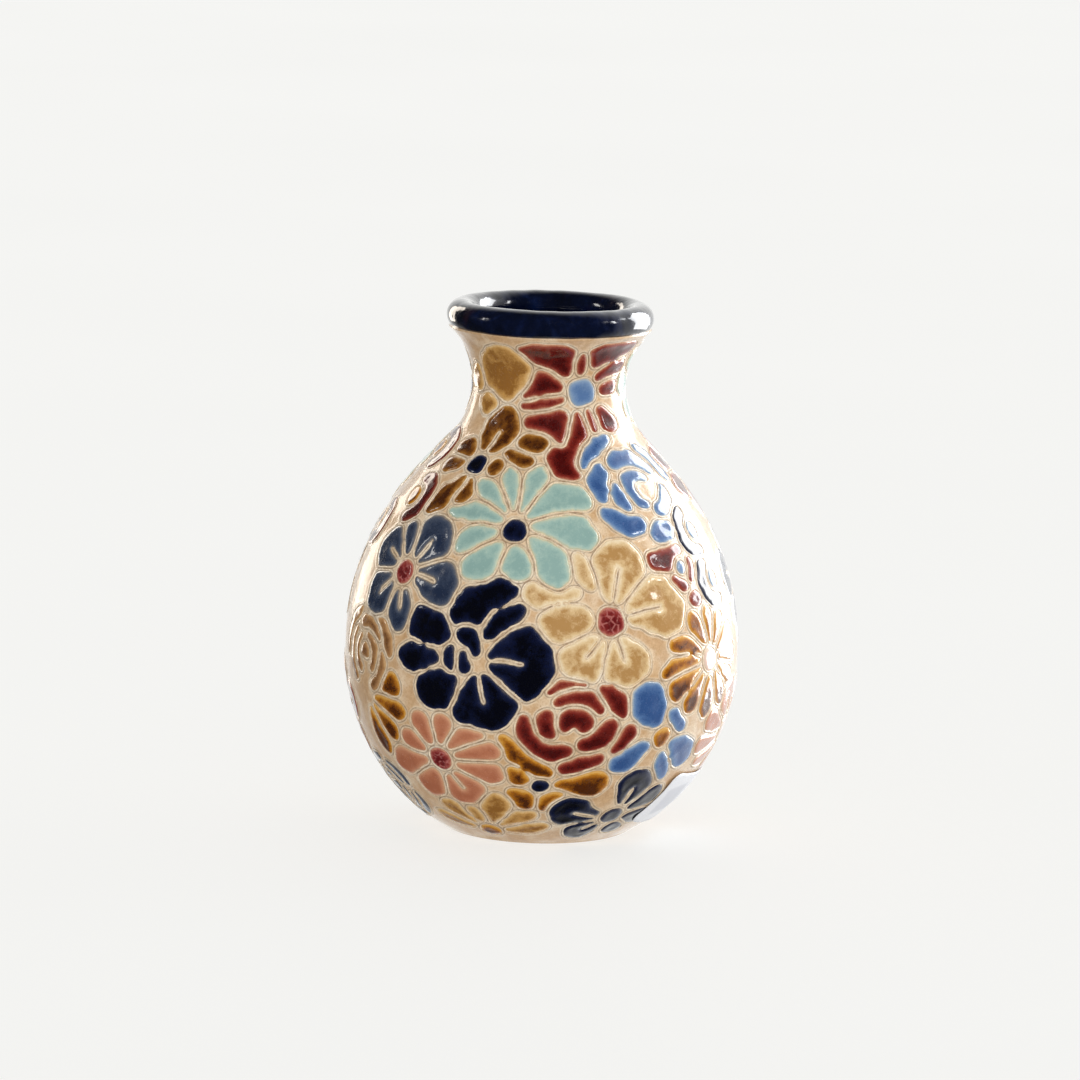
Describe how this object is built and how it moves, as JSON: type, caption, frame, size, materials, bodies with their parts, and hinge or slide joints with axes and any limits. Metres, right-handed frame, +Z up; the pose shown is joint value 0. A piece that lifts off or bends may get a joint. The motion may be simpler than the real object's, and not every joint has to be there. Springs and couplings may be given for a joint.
{
  "type": "ceramic vase",
  "caption": "Round-bellied ceramic vase with a short flared neck, a rolled rim, carved outlines filled with pools of coloured glaze, and a blank price label.",
  "frame": {"origin": "centre of the foot ring's flat, on the surface that the vase stands on", "axes": "+Z up along the vase's axis of revolution; -Y faces the viewer of the side with the turquoise daisy and the hibiscus, +X to that viewer's right"},
  "size_m": [0.1265, 0.1266, 0.17],
  "materials": {
    "clay": "fired buff clay under clear gloss",
    "cobalt_glaze": "deep gloss",
    "label_paper": "matt white paper",
    "crimson_glaze": "gloss glaze pool, thin and pale at its edge",
    "honey_glaze": "gloss glaze pool, thin and pale at its edge",
    "turquoise_glaze": "gloss glaze pool, thin and pale at its edge",
    "royal_blue_glaze": "gloss glaze pool, thin and pale at its edge",
    "dark_amber_glaze": "gloss glaze pool, thin and pale at its edge",
    "steel_blue_glaze": "gloss glaze pool, thin and pale at its edge",
    "maroon_glaze": "gloss glaze pool, thin and pale at its edge",
    "navy_glaze": "gloss glaze pool, thin and pale at its edge",
    "cream_glaze": "gloss glaze pool, thin and pale at its edge",
    "amber_glaze": "gloss glaze pool, thin and pale at its edge",
    "brown_glaze": "gloss glaze pool, thin and pale at its edge",
    "pink_glaze": "gloss glaze pool, thin and pale at its edge",
    "sky_glaze": "gloss glaze pool, thin and pale at its edge",
    "pale_pink_glaze": "gloss glaze pool, thin and pale at its edge"
  },
  "bodies": {
    "root": {"clay_body": "clay", "rim_glaze": "cobalt_glaze", "interior_glaze": "cobalt_glaze", "price_label": "label_paper", "neck_star": "crimson_glaze", "honey_neck_crown": "honey_glaze", "turquoise_daisy": "turquoise_glaze", "blue_spiral_rose": "royal_blue_glaze", "amber_neck_blossom": "dark_amber_glaze", "steel_blue_blossom": "steel_blue_glaze", "maroon_ring_roses": "maroon_glaze", "navy_hibiscus": "navy_glaze", "cream_blossom": "cream_glaze", "small_red_flower": "crimson_glaze", "blue_ring_roses": "navy_glaze", "amber_slim_daisy": "amber_glaze", "brown_curled_rose": "brown_glaze", "amber_side_leaves": "amber_glaze", "red_tight_rose": "crimson_glaze", "blue_blade_flower": "royal_blue_glaze", "pink_flower": "pink_glaze", "pink_side_flower": "pink_glaze", "amber_foot_flower": "amber_glaze", "navy_foot_blossom": "navy_glaze", "honey_foot_fan": "honey_glaze", "turquoise_neck_flower": "turquoise_glaze", "amber_neck_flower": "amber_glaze", "blue_neck_rose": "royal_blue_glaze", "crimson_shoulder_flower": "crimson_glaze", "cream_shoulder_flower": "cream_glaze", "navy_shoulder_flower": "navy_glaze", "turquoise_shoulder_flower": "turquoise_glaze", "blue_belly_flower": "steel_blue_glaze", "pink_belly_flower": "pink_glaze", "red_belly_rose": "crimson_glaze", "amber_belly_daisy": "amber_glaze", "navy_belly_flower": "navy_glaze", "turquoise_low_daisy": "turquoise_glaze", "cream_low_flower": "cream_glaze", "blue_low_rose": "royal_blue_glaze", "honey_low_flower": "honey_glaze", "crimson_low_flower": "crimson_glaze", "amber_foot_daisy": "amber_glaze", "navy_foot_flower": "navy_glaze", "pink_foot_flower": "pink_glaze", "turquoise_foot_daisy": "turquoise_glaze", "brown_foot_flower": "brown_glaze", "grey_foot_rose": "steel_blue_glaze", "navy_eyes": "navy_glaze", "crimson_eyes": "maroon_glaze", "sky_eyes": "sky_glaze", "amber_eyes": "amber_glaze", "pink_eyes": "pale_pink_glaze"}
  },
  "joints": []
}
